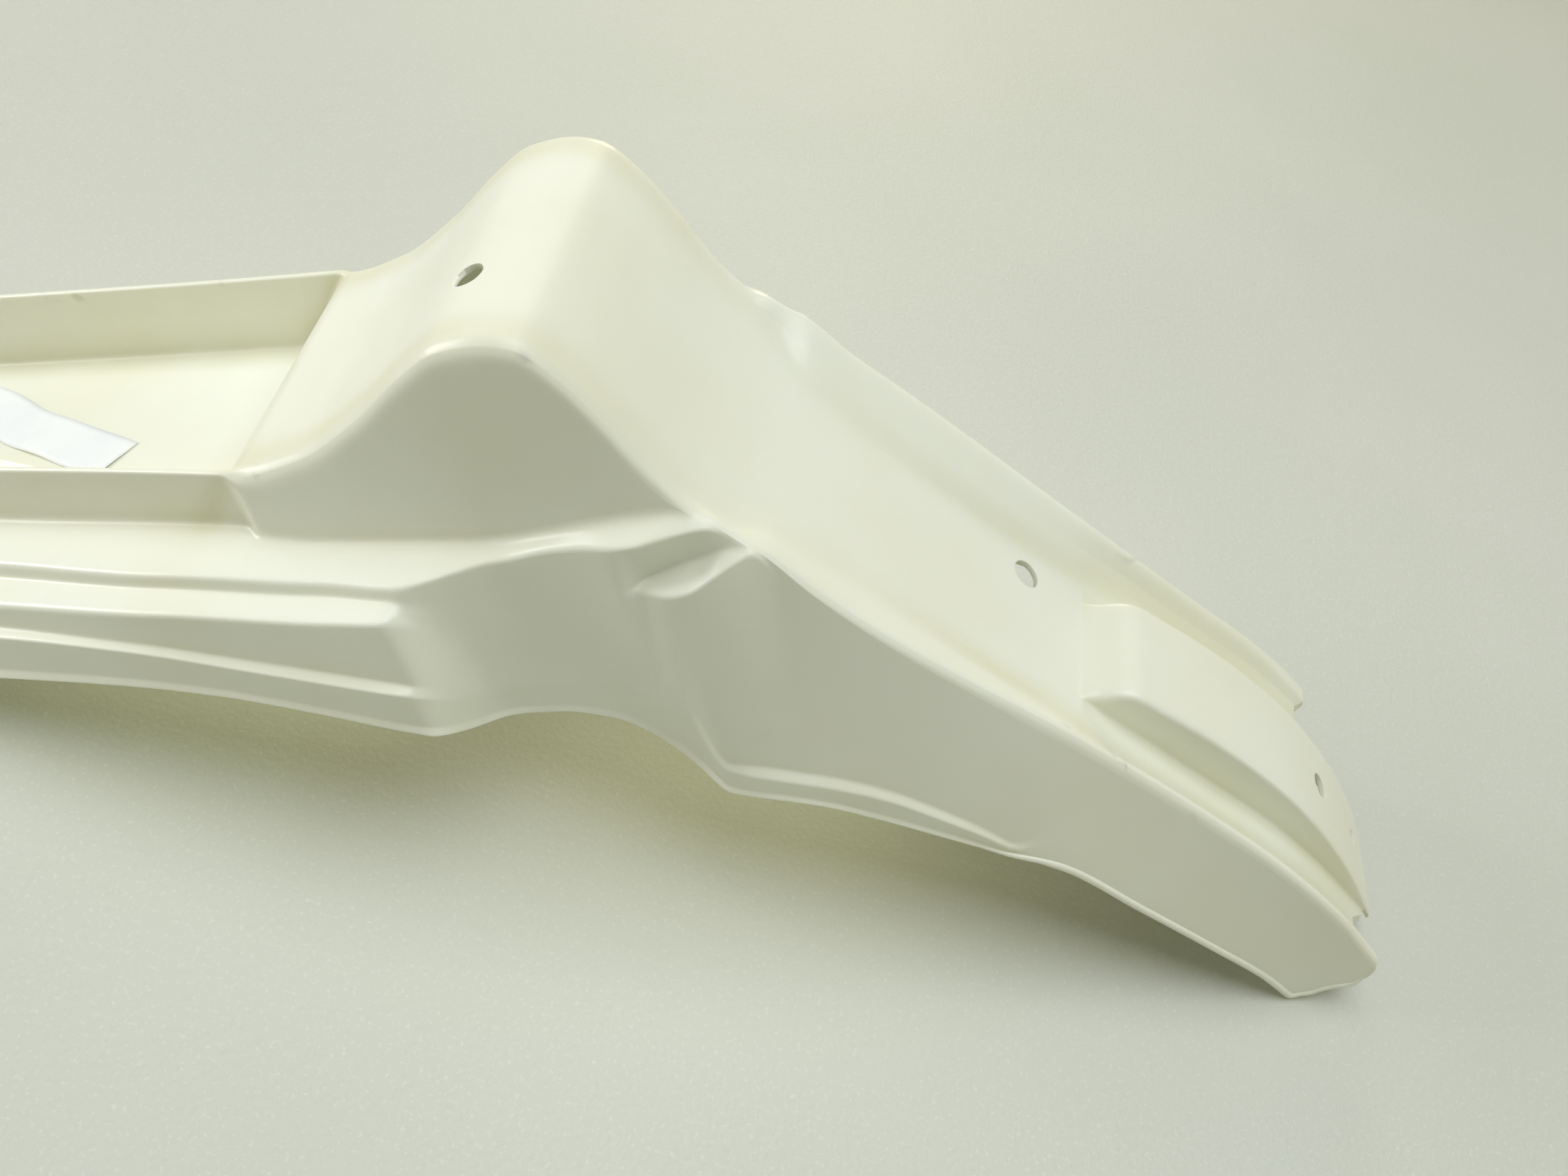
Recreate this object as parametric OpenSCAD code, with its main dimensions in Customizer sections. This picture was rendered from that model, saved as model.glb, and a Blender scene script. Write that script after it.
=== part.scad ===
// Rear fender of a motorcycle, moulded in one piece from ivory plastic sheet.
// A shallow tray runs back from the front edge, a hump crosses behind it, and a
// troughed tail drops away from the hump with a raised tongue along its middle.
// Ledges step down from the tray and hump to skirts at both sides.

/* [Moulding] */
// Thickness of the moulded wall
wall = 2.4; // [2:0.1:2.8]
// Width of the flat that softens the hump's side edges
edge_soft = 3.5; // [2:0.5:5]
// Width of the lip turned out along the bottom edge
lip = 1.8; // [1:0.2:2.4]

/* [Tray] */
// Height of the tray's side walls above its floor
tray_depth = 30; // [26:1:34]
// Width over the tray's walls at the front edge
tray_front_w = 92; // [86:1:96]
// Width over the tray's walls where they meet the hump
tray_back_w = 106; // [102:1:108]

/* [Hump] */
// Width over the hump's side edges
hump_w = 109; // [106:1:112]
// Height of the hump's crest above the tray floor
crest_h = 76; // [70:1:82]

/* [Tail] */
// Depth of the trough below its two ridges
trough_depth = 16; // [12:1:17]
// Width of the raised tongue in the trough
tongue_w = 45; // [40:1:48]

/* [Holes] */
// Diameter of the hole on the hump
hump_hole_d = 10; // [6:0.5:12]
// Diameter of the hole on the trough floor
trough_hole_d = 11; // [6:0.5:13]
// Diameter of the hole on the tongue
tongue_hole_d = 10; // [6:0.5:12]
// Diameter of the small hole at the tongue's end
end_hole_d = 5.5; // [4:0.5:7]
// How far the first two holes sit to either side of the middle
hole_offset = 19; // [14:1:22]

/* [Hidden] */

// Places along the fender, from the front edge, where the form changes
fold_x = 160;      // the tray floor starts to rise
shoulder_x = 188;  // the floor reaches the top of the tray's walls
crest_x = 283;
hip_x = 326;       // the trough starts behind the hump
ramp_x = 441;      // foot of the tongue's ramp
cut_x = 541;       // end of the trough floor at its fold
groove_x = 552;    // and beside the tongue
tip_x = 552;       // tip of the side skins
tongue_x = 556;    // end of the tongue
flare_x = 516;     // from here each line runs to an end of its own

// Every line below is a list of [distance from the front edge, value or values].
// Height of the tray wall's top, the hump's side edge and the trough's ridge
edge_z = [
    [0, tray_depth], [shoulder_x, tray_depth], [212, tray_depth + 6], [236, crest_h - 26],
    [258, crest_h - 9], [270, crest_h - 2], [crest_x, crest_h], [293, crest_h - 2],
    [303, crest_h - 13], [312, 47], [322, 26], [330, 14], [336, 9.5], [340, 3.5], [344, 0.5],
    [349, -0.5], [362, -17], [391, -46], [440, -94], [485, -140], [512, -169],
    [536, -203], [tip_x, -234]
];
// Half width at the same edge
edge_y = [
    [0, tray_front_w / 2], [shoulder_x - 2, tray_back_w / 2], [shoulder_x + 3, hump_w / 2],
    [hip_x, hump_w / 2], [350, 55.5], [380, 57], [440, 52.5], [480, 51], [520, 52], [tip_x, 50]
];
// Depth of the floor below the edge: the tray, then nothing on the hump, then the trough
dip = [
    [0, tray_depth], [fold_x, tray_depth], [fold_x + 4, tray_depth - 2], [shoulder_x, 1.5],
    [shoulder_x + 4, 0], [hip_x, 0], [338, 3], [349, trough_depth / 2], [380, 11.5],
    [406, trough_depth - 0.5], [440, trough_depth], [536, trough_depth], [tip_x, 12]
];
// Height of the floor where the hump's back runs on into the trough
slide_z = [
    [293, crest_h - 2], [303, crest_h - 13], [312, 47], [322, 26.5], [330, 12], [340, -2.5],
    [349, -13], [362, -27.5], [380, -47], [406, -75.5], [440, -94 - trough_depth], [485, -140 - trough_depth]
];
// Distance from the edge in to the fold at the floor's side
fold_in = [
    [0, wall], [shoulder_x - 4, wall], [shoulder_x + 4, 8.5], [hip_x, 8.5], [338, 9.5],
    [350, 19.5], [380, 23], [430, 17.5], [460, 12], [tip_x, 12]
];
// Softening of the edge: [x, width of the flat inside it, drop of its outer corner]
edge_flat = [
    [0, wall, 0], [shoulder_x - 2, wall, 0], [shoulder_x + 3, edge_soft, edge_soft],
    [hip_x, edge_soft, edge_soft], [345, 3.4, 2.2], [tip_x, 3.4, 2.2]
];
// Top of the tongue
tongue_z = [
    [438, -107], [ramp_x, -109.6], [446, -109.6], [455, -108.9], [459, -109.8], [470, -118.5],
    [484, -131], [503, -151], [518, -170], [531, -191], [544, -217.5], [551, -236], [tongue_x, -251]
];

// Foot of the tray's wall and of the hump's side: [x, half width, height]
foot = [
    [0, tray_front_w / 2, 10.8], [100, (tray_front_w + tray_back_w) / 4 + 1, 10],
    [shoulder_x - 2, tray_back_w / 2, 8.7], [shoulder_x + 3, 57.5, 8], [212, 58, 6],
    [262, 58, 6], [273, 57.5, 7], [290, 57.7, 10.5], [300, 58, 13], [315, 57.5, 15.5],
    [327, 56.3, 15.5], [336, 55.5, 8]
];
// Outer edge of the first ledge
ledge_1 = [
    [0, 63.5, 10], [106, 70, 9], [165, 74.5, 8.3], [216, 74.5, 5.2], [240, 76.5, 5], [248, 75, 5],
    [257, 70.5, 4.5], [270, 65.5, 4.6], [286, 64.3, 7.6], [297, 64.9, 9.2], [308, 66.4, 10.4],
    [317, 67.3, 10.9], [326, 64.6, 11.6], [334, 60, 9.8], [341, 57, 3]
];
// Second ledge, and behind the recess the shelf that points to the ridge
ledge_2_in = [
    [0, 64.3, 5], [103, 71, 4.3], [162, 75.2, 3.6], [214, 75.7, 0.5], [245, 78, 0.3],
    [307, 64.5, -6], [323, 62.2, -3.5], [334, 59, -1.5], [341, 56.9, -0.5], [348, 56.2, -2.5]
];
ledge_2 = [
    [0, 77, 4.6], [110, 83, 4], [167, 86, 3.2], [218, 86.2, 0], [238, 86.4, -0.2], [248, 80, -0.4],
    [307, 65.2, -7], [317, 67, -8.3], [324, 67.1, -8.3], [334, 63.8, -5.6], [342, 60.3, -3.2], [350, 57.8, -4.5]
];
// Third ledge, and behind the recess the bead above the bottom edge
ledge_3_in = [
    [0, 79, -2], [104, 84, -5], [148, 86.6, -8.8], [196, 87.4, -17.8], [236, 88.5, -25.3], [250, 88.5, -29],
    [317, 67.4, -92.4], [335, 69.1, -92.5], [348, 69.7, -94.7], [362, 70, -97.4], [377, 70, -103],
    [397, 69.6, -115.6], [408, 69.3, -124], [424, 68.7, -139.5]
];
ledge_3 = [
    [0, 83, -2.6], [106, 88.2, -5.6], [150, 90, -9.6], [196, 91.2, -18.5], [234, 92.3, -26], [250, 90, -30],
    [317, 68.8, -93.9], [335, 71.8, -94.6], [348, 72.3, -96.6], [362, 72.5, -99.5], [377, 72.3, -105.1],
    [397, 71.6, -117.3], [408, 70.7, -125.7], [424, 69.5, -141.5]
];
// Bottom edge
hem = [
    [0, 89.5, -19], [100, 91, -22.8], [143, 91.6, -25], [175, 92.1, -29], [205, 92.7, -36],
    [230, 93.3, -43], [240, 93, -46.3], [244, 87.5, -52], [248, 77, -61], [253, 69.5, -65.8],
    [262, 67, -66.8], [273, 66.6, -66.4], [285, 66.4, -68.5], [293, 66.6, -71.2], [301, 67.5, -76.5],
    [309, 69.2, -83.4], [314, 70.5, -88.7], [318.5, 71.4, -96.5], [323, 72.2, -102.6], [341, 73.8, -104],
    [356, 74.1, -106.6], [371, 73.6, -112.9], [396, 72.6, -125.7], [411, 71.3, -134.3], [424, 70.3, -140.5],
    [435, 69.2, -147.1], [461, 66.8, -175.5], [488, 64.7, -204.9], [510, 61.9, -231.6], [521.5, 59.7, -251.2]
];
// How far each ledge stands out of the plain skin: 1 in full, 0 sunk away
full_1 = [[0, 1], [330, 1], [341, 0]];
full_2 = [[0, 1], [237, 1], [249, 0], [307, 0], [312, 1], [346, 1], [353, 0]];
full_3 = [[0, 1], [236, 1], [251, 0], [317, 0], [323, 1], [407, 1], [424, 0]];

// Stretches of stations along the fender: [first, spacing, last]
stretches = [
    [0, 48, 144], [155, 4.5, 168.5], [174, 5, 184], [187, 2, 191], [200, 12, 236], [241, 4, 253],
    [259, 7, 301], [307, 5, 322], [326, 4, 354], [362, 14, 432], [438, 3, 447], [455, 4, 459],
    [470, 15, 515], [523, 8, 547], [552, 4, 556]
];
stations = [for (s = stretches) for (x = [s[0] : s[1] : s[2] + 0.01]) x];

// Share of the way down the side skin at which each of its lines ends
skin_share = [0, 0, 0.1, 0.2, 0.22, 0.32, 0.45, 0.48, 0.74, 0.84, 0.86, 0.96, 1];
skin_end = 521.5;  // where the bottom edge ends

function rise(k, i, c) = (k[i + 1][c] - k[i][c]) / (k[i + 1][0] - k[i][0]);
function mean_rise(a, b) = a * b <= 0 ? 0 : 2 * a * b / (a + b);
function knot_slope(k, i, c) =
    i == 0 ? rise(k, 0, c) :
    i == len(k) - 1 ? rise(k, i - 1, c) : mean_rise(rise(k, i - 1, c), rise(k, i, c));
function knot_before(k, x, i = 0) = i < len(k) - 2 && k[i + 1][0] <= x ? knot_before(k, x, i + 1) : i;
// Value at x of the smooth line through a list's knots, which never overshoots them
function along(k, x, c = 1) =
    let (i = knot_before(k, x),
         h = k[i + 1][0] - k[i][0],
         t = min(1, max(0, (x - k[i][0]) / h)),
         u = 1 - t)
    k[i][c] * (1 + 2 * t) * u * u + k[i + 1][c] * t * t * (3 - 2 * t)
        + h * t * u * (knot_slope(k, i, c) * u - knot_slope(k, i + 1, c) * t);
function place(k, x) = [along(k, x, 1), along(k, x, 2)];
function mix(a, b, t) = a + (b - a) * t;

function floor_z(x) = x > 303 && x < 440 ? along(slide_z, x) : along(edge_z, x) - along(dip, x);
function tongue_top(x) = x < ramp_x ? floor_z(x) : along(tongue_z, x);

// Corners of the side's outline at x, from the fold at the floor to the bottom edge
function corners(x) =
    let (ye = along(edge_y, x),
         ze = along(edge_z, x),
         flat = place(edge_flat, x),
         tail = x < hip_x ? 0 : min(1, (x - hip_x) / 19),
         rim_in = [ye - flat[0] + tail, ze],
         rim_out = [ye + tail, ze - flat[1]],
         low = place(hem, x),
         w1 = along(full_1, x),
         w2 = along(full_2, x),
         w3 = along(full_3, x),
         l1i = mix(mix(rim_out, low, 0.1), place(foot, x), w1),
         l1o = mix(mix(rim_out, low, 0.2), place(ledge_1, x), w1),
         l2i = mix(mix(l1o, low, 0.15), place(ledge_2_in, x), w2),
         l2o = mix(mix(l1o, low, 0.35), place(ledge_2, x), w2),
         l3i = mix(mix(l2o, low, 0.55), place(ledge_3_in, x), w3),
         l3o = mix(mix(l2o, low, 0.68), place(ledge_3, x), w3),
         band = mix(l3o, low, 0.8))
    [[ye - along(fold_in, x), floor_z(x)], rim_in, rim_out, l1i, l1o, l2i, l2o, l3i, l3o,
     band - [lip, 0], low];

function toward(a, b, d) = let (n = norm(b - a)) a + (b - a) / n * min(d, 0.4 * n);
// Two points that cut a corner off
function cut(p, i, d) = [toward(p[i], p[i - 1], d), toward(p[i], p[i + 1], d)];

// Half of the upper surface's section at x, from the middle out to the bottom edge
function upper(x) =
    let (c = corners(x),
         p = concat([[0, floor_z(x)]], c),
         half = tongue_w / 2,
         top = tongue_top(x),
         crown = min(1.2, max(0, top - floor_z(x))))
    concat(
        [[0, top], [half / 2, top], [half - 1.6, top], [half - 0.3, top - crown],
         [half + 1, floor_z(x)], [half + 3.4, floor_z(x)]],
        cut(p, 1, 2.5), cut(p, 2, 1.2), cut(p, 3, 1.2), [p[4]],
        cut(p, 5, 1.2), [p[6]], cut(p, 7, 1.2), [p[8]], cut(p, 9, 1), [p[10]], [p[11]]
    );

// Inward normal of the segment from a to b
function inward(a, b) = let (u = (b - a) / norm(b - a)) [u[1], -u[0]];
// Point inside the corner b, at distances d and e from the segments that meet there
function inset(a, b, c, d, e) =
    let (m = inward(a, b), n = inward(b, c), det = m[0] * n[1] - m[1] * n[0])
    abs(det) < 0.08 ? b + (m + n) / norm(m + n) * (d + e) / 2
        : b + [d * n[1] - e * m[1], m[0] * e - n[0] * d] / det;
// Wall thickness as the section cuts it, for a segment whose ends move by v per mm of length
function cut_wall(a, b, v) = wall * sqrt(1 + pow(inward(a, b) * v, 2));

// Half of the under surface's section at x, point for point below the upper one
function under(x) =
    let (p = corners(x),
         q = corners(x + 1.5),
         r = corners(x - 1.5),
         v = (q - r) / 3,
         w = [for (i = [0 : 9]) cut_wall(p[i], p[i + 1], (v[i] + v[i + 1]) / 2)],
         slope = (floor_z(x + 1.5) - floor_z(x - 1.5)) / 3,
         zf = floor_z(x) - wall * sqrt(1 + slope * slope),
         top = tongue_top(x),
         top_slope = (tongue_top(x + 1.5) - tongue_top(x - 1.5)) / 3,
         zt = x < ramp_x + 2 ? zf : top - wall * sqrt(1 + top_slope * top_slope),
         half = tongue_w / 2 - wall,
         // the tray's wall stands on its own foot, the hump's side is a hollow shell
         shell = min(1, max(0, (x - 169.5) / 3)),
         side = along(edge_y, x) - mix(0.3, wall, shell),
         foot_z = p[3][1] - wall,
         h = zf - foot_z,
         foot_y = mix(p[2][0] + 0.4, inset(p[2], p[3], p[4], w[2], w[3])[0], shell),
         box = [[side - 9, zf], [side - 6, zf], [side - mix(0.6, 2, shell), zf], [side, zf - 0.1 * h],
                [side, zf - 0.3 * h], [mix(side, foot_y, 0.6 * shell), zf - 0.65 * h], [foot_y, foot_z]],
         // under the trough's side wall and ridge
         tail = x < hip_x ? 0 : min(1, (x - hip_x) / 19),
         fold = inset([0, p[0][1]], p[0], p[1], wall * sqrt(1 + slope * slope), w[0]),
         peak = inset(p[0], (p[1] + p[2]) / 2, p[3], w[0], w[2]),
         skin = inset(p[2], p[3], p[4], w[2], w[3]),
         bent = [fold - [4, 0], fold - [0.4, 0], mix(fold, peak, 0.5), mix(fold, peak, 0.92), peak,
                 mix(peak, skin, 0.5), skin])
    concat(
        [[0, zt], [half / 2, zt], [half - 1.6, zt], [half - 0.3, zt - (zt > zf + 1 ? 0.6 : 0)],
         [half + 1, zf], [half + 3.4, zf]],
        [for (i = [0 : 6]) mix(box[i], bent[i], tail)],
        [for (i = [4 : 9], k = [0 : (i == 4 || i == 6 || i == 8 ? 1 : 0)])
            inset(p[i - 1], p[i], p[i + 1], w[i - 1], w[i]) + [0, 0.3 - 0.6 * k] * (i % 2 == 0 ? 1 : 0)],
        [p[10] + inward(p[9], p[10]) * wall]
    );

rows = len(upper(0));
// Where each line ends beyond flare_x
function row_end(j) =
    j < 3 ? tongue_x : j == 3 ? tongue_x - 1.5 : j < 6 ? groove_x : j < 8 ? cut_x : j < 10 ? tip_x - 2
        : skin_end + (tip_x - skin_end) * sqrt(1 - pow(skin_share[j - 10], 2));
function row_x(x, j) =
    x <= flare_x ? x : flare_x + (x - flare_x) * (row_end(j) - flare_x) / (tongue_x - flare_x);
function at_x(x, p) = [x, p[0], p[1]];
function station(x, top) =
    x <= flare_x ? [for (p = top ? upper(x) : under(x)) at_x(x, p)]
        : [for (j = [0 : rows - 1]) let (xj = row_x(x, j)) at_x(xj, (top ? upper(xj) : under(xj))[j])];
function mirrored(p) = [p[0], -p[1], p[2]];
// A whole ring: the upper line from one bottom edge to the other, and back beneath
function ring(x) =
    let (u = station(x, true), d = station(x, false))
    concat(
        [for (j = [rows - 1 : -1 : 1]) mirrored(u[j])], u,
        [for (j = [rows - 1 : -1 : 0]) d[j]], [for (j = [1 : rows - 1]) mirrored(d[j])]
    );

// The fender rests on its front corners and the tail's lower corners
flat_points = [for (x = stations) each ring(x)];
front_low = min([for (p = flat_points) if (p[0] == 0) p[2]]);
rest_tilt = max([for (p = flat_points) if (p[0] > ramp_x) atan2(front_low - p[2], p[0])]);
function turned(p) =
    [p[0] * cos(rest_tilt) - p[2] * sin(rest_tilt), p[1], p[0] * sin(rest_tilt) + p[2] * cos(rest_tilt)];
points = [for (p = flat_points) turned(p)];
side = 4 * rows - 2;
last = len(stations) - 1;
middle = (min([for (p = points) p[0]]) + max([for (p = points) p[0]])) / 2;
base = min([for (p = points) p[2]]);

module moulding() {
    skin = [for (i = [0 : last - 1], j = [0 : side - 1])
        let (k = (j + 1) % side, a = i * side + j, b = i * side + k, c = a + side, d = b + side)
        each [[a, b, c], [b, d, c]]];
    // each end closes with a strip of faces between its upper and its under line
    front = [for (j = [0 : 2 * rows - 3])
        let (a = j, b = a + 1, c = side - 1 - j, d = c - 1)
        each [[a, d, b], [a, c, d]]];
    back = [for (j = [0 : 2 * rows - 3])
        let (a = last * side + j, b = a + 1, c = last * side + side - 1 - j, d = c - 1)
        each [[a, b, d], [a, d, c]]];
    polyhedron(points, concat(skin, front, back), convexity = 10);
}

// Drill standing across the wall at x and y, square to the surface
module drill(x, y, z, slope, d) {
    multmatrix([[cos(rest_tilt), 0, -sin(rest_tilt), 0], [0, 1, 0, 0], [sin(rest_tilt), 0, cos(rest_tilt), 0]])
    translate([x, y, z])
    rotate([0, -atan(slope), 0])
    cylinder(d = d, h = 16, center = true, $fn = 48);
}

module rear_fender() {
    color("ivory")
    translate([-middle, 0, -base])
    difference() {
        moulding();
        drill(270, -hole_offset, floor_z(270), (floor_z(272) - floor_z(268)) / 4, hump_hole_d);
        drill(421, hole_offset, floor_z(421), (floor_z(423) - floor_z(419)) / 4, trough_hole_d);
        drill(532, 1, tongue_top(532), (tongue_top(534) - tongue_top(530)) / 4, tongue_hole_d);
        drill(549, 3, tongue_top(549), (tongue_top(550) - tongue_top(548)) / 2, end_hole_d);
    }
}

rear_fender();
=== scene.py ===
# %% [markdown]
# # A moulded rear fender
#
# The object is the rear fender of a motorcycle, injection moulded in one piece from glossy ivory
# plastic about 2.4 mm thick. It has no joints and carries nothing, so this lesson is about one
# surface: how to describe a thin moulding by a few lines that run along it, how to give it a wall,
# round its corners and drill it, and how to finish it so that it looks like handled plastic. The
# tail's rolled edge and a paper slip in the tray are small pieces beside it.
#
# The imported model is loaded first. It is the frame: everything is in metres, and nothing made here
# may be larger than the box of that model.

import math

import bpy
import numpy as np
from mathutils import Matrix


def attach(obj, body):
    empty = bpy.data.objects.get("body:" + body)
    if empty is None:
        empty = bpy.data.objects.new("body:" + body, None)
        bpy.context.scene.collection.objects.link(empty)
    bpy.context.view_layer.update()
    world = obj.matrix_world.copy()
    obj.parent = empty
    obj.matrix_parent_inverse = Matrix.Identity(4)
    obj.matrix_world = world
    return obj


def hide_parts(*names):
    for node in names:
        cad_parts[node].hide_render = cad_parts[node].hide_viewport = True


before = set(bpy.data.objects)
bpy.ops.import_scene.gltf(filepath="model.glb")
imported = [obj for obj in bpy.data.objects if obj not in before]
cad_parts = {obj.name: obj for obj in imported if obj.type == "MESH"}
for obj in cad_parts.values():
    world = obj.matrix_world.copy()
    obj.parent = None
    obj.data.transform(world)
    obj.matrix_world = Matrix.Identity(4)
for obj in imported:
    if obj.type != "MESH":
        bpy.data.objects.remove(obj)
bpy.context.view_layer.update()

# %% [markdown]
# ## Measures
#
# The fender is drawn lying along its own axis: x runs back from the front edge, y across, z up from
# the tray floor, all in millimetres. At the end it is turned to the pose in which it rests on the
# floor, with its front corners and the tail's lower corners touching. A single turn and a shift do
# that, so every line can be written in the simple axes.

# %% Measures of the moulding
WALL = 2.4
TONGUE_HALF = 22.5
HIP, RAMP, FLARE = 326.0, 441.0, 516.0
GROOVE_END, TIP, TONGUE_END = 551.5, 553.0, 555.6
NEAR_FLOOR_END, FAR_FLOOR_END, FAR_SHORTER = 545.5, 527.0, 22.0
SKIN_END = 521.5
REST_TILT = math.radians(23.9971)
MIDDLE, BASE = 299.799, -18.864


def rest(points):
    """Turns points from the fender's own axes to the pose at rest, in metres.

    x' = x cos(tilt) - z sin(tilt) - middle, z' = x sin(tilt) + z cos(tilt) - base, y stays."""
    x, y, z = np.moveaxis(np.asarray(points, float), -1, 0)
    c, s = math.cos(REST_TILT), math.sin(REST_TILT)
    return np.stack([x * c - z * s - MIDDLE, y, x * s + z * c - BASE], -1) / 1000.0


def turn(direction):
    """Turns a direction in the same way, with no shift."""
    x, y, z = direction
    c, s = math.cos(REST_TILT), math.sin(REST_TILT)
    return np.array([x * c - z * s, y, x * s + z * c])


print("the front edge's middle rests at", np.round(rest([0, 0, 0]), 3))

# %% [markdown]
# ## The camera
#
# The photograph looks down at the fender from its left side, with a lens of about 32.5 mm on a
# 36 mm sensor. The camera's place and its three directions were found from the vanishing points of
# the long edges, in the fender's own axes, and are turned with it.

# %% Camera
IMAGE_WIDTH, IMAGE_HEIGHT, FOCAL_PX = 2212, 1659, 2000.0


def make_camera(place, right, down):
    """A camera whose matrix columns are right, up (minus down) and back (minus the view)."""
    r, d = turn(right), turn(down)
    r = r / np.linalg.norm(r)
    d = d - r * (d @ r)
    d = d / np.linalg.norm(d)
    forward = np.cross(r, d)
    data = bpy.data.cameras.new("camera")
    data.sensor_width = 36.0
    data.lens = 36.0 * FOCAL_PX / IMAGE_WIDTH
    data.clip_start, data.clip_end = 0.01, 50.0
    camera = bpy.data.objects.new("camera", data)
    columns = np.eye(4)
    columns[:3, 0], columns[:3, 1], columns[:3, 2] = r, -d, -forward
    columns[:3, 3] = rest(place)
    camera.matrix_world = Matrix(columns.tolist())
    bpy.context.scene.collection.objects.link(camera)
    bpy.context.scene.camera = camera
    return camera


CAMERA_PLACE = (440.0, -338.0, 290.0)
CAMERA_RIGHT, CAMERA_DOWN = (0.9789, 0.1391, -0.1497), (0.0011, -0.7363, -0.6767)
camera = make_camera(CAMERA_PLACE, CAMERA_RIGHT, CAMERA_DOWN)
print("camera at", np.round(camera.matrix_world.translation, 3), "lens", round(camera.data.lens, 2))

# %% [markdown]
# ## Lines that run along the moulding
#
# A moulding like this one has a section that changes slowly along its length: walls, ledges and
# folds start, swell and fade. Each of them is one line with a few knots. Between knots the line is a
# monotone cubic: it is smooth, and it never swings past a knot as an ordinary spline would, so a
# straight stretch stays straight. The lines are worked out on a fine row of distances, once.

# %% Monotone lines
STEP = 0.5
fine = np.arange(-10.0, 570.0 + STEP / 2, STEP)


def line(knots, x=fine):
    """Monotone cubic line through knots of [distance, value...], straight beyond both ends.

    Each inner knot's slope is the harmonic mean of the rises on its two sides, or 0 at a turn."""
    k = np.asarray(knots, float)
    at, value = k[:, 0], k[:, 1:]
    step = np.diff(at)[:, None]
    rise = np.diff(value, axis=0) / step
    product = rise[:-1] * rise[1:]
    total = rise[:-1] + rise[1:]
    inner = np.where(product > 0, 2 * product / np.where(total == 0, 1, total), 0)
    slope = np.vstack([rise[:1], inner, rise[-1:]])
    i = np.clip(np.searchsorted(at, x, side="right") - 1, 0, len(at) - 2)
    share = ((x - at[i]) / np.diff(at)[i])[:, None]
    t = np.clip(share, 0, 1)
    u = 1 - t
    smooth = value[i] * (1 + 2 * t) * u * u + value[i + 1] * t * t * (3 - 2 * t)
    smooth += step[i] * t * u * (slope[i] * u - slope[i + 1] * t)
    beyond = (share - t) * step[i] * np.where(share < 0, slope[i], slope[i + 1])
    result = smooth + beyond
    return result[:, 0] if result.shape[1] == 1 else result


def held(knots):
    """The same line, but keeping its first and last values beyond its ends."""
    k = np.asarray(knots, float)
    return line(knots, np.clip(fine, k[0, 0], k[-1, 0]))


def mix(a, b, t):
    """The value a share t of the way from a to b; t may vary along the fender."""
    t = np.asarray(t, float)
    return a + (b - a) * (t[..., None] if np.ndim(a) > np.ndim(t) else t)


edge_z = line([
    [0, 30], [188, 30], [212, 36], [236, 50], [258, 67], [270, 74], [283, 76], [293, 74], [303, 63],
    [312, 47], [322, 26], [330, 13.8], [336, 9.9], [340, 6], [344, 2.5], [349, -1.5], [362, -16.5],
    [391, -46], [440, -94], [485, -140], [512, -169], [536, -203], [552, -234]])
edge_y = line([
    [0, 46], [186, 53], [191, 54.5], [326, 54.5], [350, 55.5], [380, 57], [440, 52.5], [480, 51],
    [520, 52], [552, 50]])
dip = held([
    [0, 30], [160, 30], [164, 28], [188, 1.5], [192, 0], [326, 0], [338, 3], [349, 8], [380, 11.5],
    [406, 15.5], [440, 16], [536, 16], [552, 12]])
slide_z = line([
    [293, 74], [303, 63], [312, 47], [322, 26.5], [330, 12], [340, -2.5], [349, -13], [362, -27.5],
    [380, -47], [406, -75.5], [440, -110], [485, -156]])
fold_in = held([
    [0, 2.4], [184, 2.4], [192, 8.5], [326, 8.5], [338, 9.5], [350, 19.5], [380, 23], [430, 17.5],
    [460, 12], [552, 12]])
edge_flat = held([
    [0, 2.4, 0], [186, 2.4, 0], [191, 3.5, 3.5], [316, 3.5, 3.5], [327, 2.6, 0.8], [346, 2.6, 0.7],
    [362, 3.4, 2.2], [552, 3.4, 2.2]])
tongue_z = line([
    [438, -107], [441, -109.6], [446, -109.6], [455, -108.9], [459, -109.8], [470, -118.5],
    [484, -131], [503, -151], [518, -170], [531, -191], [544, -217.5], [551, -236], [556, -251]])
print(len(fine), "places along the fender, every", STEP, "mm")

# %% [markdown]
# Below the rim the side steps down over three ledges to the bottom edge. Every ledge has an inner
# and an outer line, with a half width and a height. A ledge fades where its presence falls to 0: its
# corners then sink onto the plain skin between the rim and the bottom edge. full_ is how far a ledge
# is present, and sunk_ the shares of the way down the skin at which its absent corners lie.

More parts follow.
